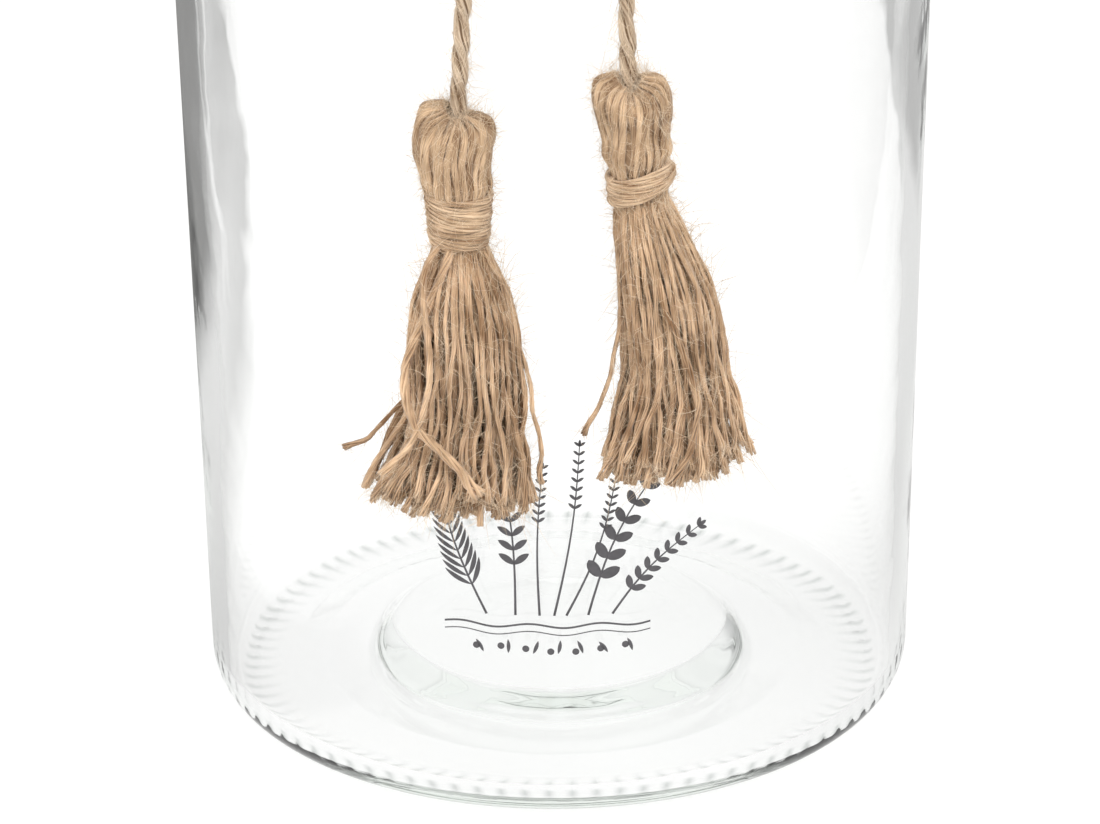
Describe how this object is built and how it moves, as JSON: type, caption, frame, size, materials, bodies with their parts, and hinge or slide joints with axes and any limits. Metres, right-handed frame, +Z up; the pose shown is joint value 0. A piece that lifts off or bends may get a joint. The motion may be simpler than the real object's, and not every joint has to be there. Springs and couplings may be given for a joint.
{
  "type": "glass jar vase",
  "caption": "Tall round clear glass jar vase with a rolled rim, its neck wound with jute rope that is tied at the front and hangs down in tassels.",
  "frame": {"origin": "centre of the ring that the jar stands on, on the surface under it", "axes": "+Z up through the middle of the mouth; -Y towards the knot and the tassels; +X to the right of someone who faces them"},
  "size_m": [0.1614, 0.1811, 0.25],
  "materials": {
    "clear_glass": "pressed and blown soda-lime glass, clear, fire polished",
    "jute_rope": "three-ply laid jute, hairy and matt",
    "jute_yarn": "soft spun jute yarn, hairy and matt",
    "jute_twine": "thin polished jute twine, matt"
  },
  "bodies": {
    "jar": {"glass_jar": "clear_glass"},
    "collar": {"neck_rope": "jute_rope"},
    "left_rope": {"left_tail": "jute_rope"},
    "right_rope": {"right_tail": "jute_rope"},
    "left_tassel": {"left_stop_knot": "jute_rope", "left_tassel_head": "jute_yarn", "left_tassel_binding": "jute_twine", "left_tassel_skirt": "jute_yarn"},
    "right_tassel": {"right_stop_knot": "jute_rope", "right_tassel_head": "jute_yarn", "right_tassel_binding": "jute_twine", "right_tassel_skirt": "jute_yarn"}
  },
  "joints": [
    {"name": "collar_turn", "type": "hinge", "parent": "jar", "child": "collar", "pos_m": [0, 0, 0.231], "axis": [0, 0, 1], "continuous": true},
    {"name": "left_rope_swing", "type": "hinge", "parent": "collar", "child": "left_rope", "pos_m": [-0.01156, -0.06582, 0.22294], "axis": [0.2074, 0.9782, 0], "range_deg": [-2, 20]},
    {"name": "right_rope_swing", "type": "hinge", "parent": "collar", "child": "right_rope", "pos_m": [0.01156, -0.06582, 0.22294], "axis": [0.1608, -0.987, 0], "range_deg": [-2, 20]},
    {"name": "left_tassel_lift", "type": "hinge", "parent": "left_rope", "child": "left_tassel", "pos_m": [-0.0184, -0.08678, 0.16], "axis": [-0.9782, 0.2074, 0], "range_deg": [0, 70]},
    {"name": "right_tassel_lift", "type": "hinge", "parent": "right_rope", "child": "right_tassel", "pos_m": [0.0142, -0.08718, 0.1655], "axis": [-0.987, -0.1608, 0], "range_deg": [0, 70]}
  ]
}
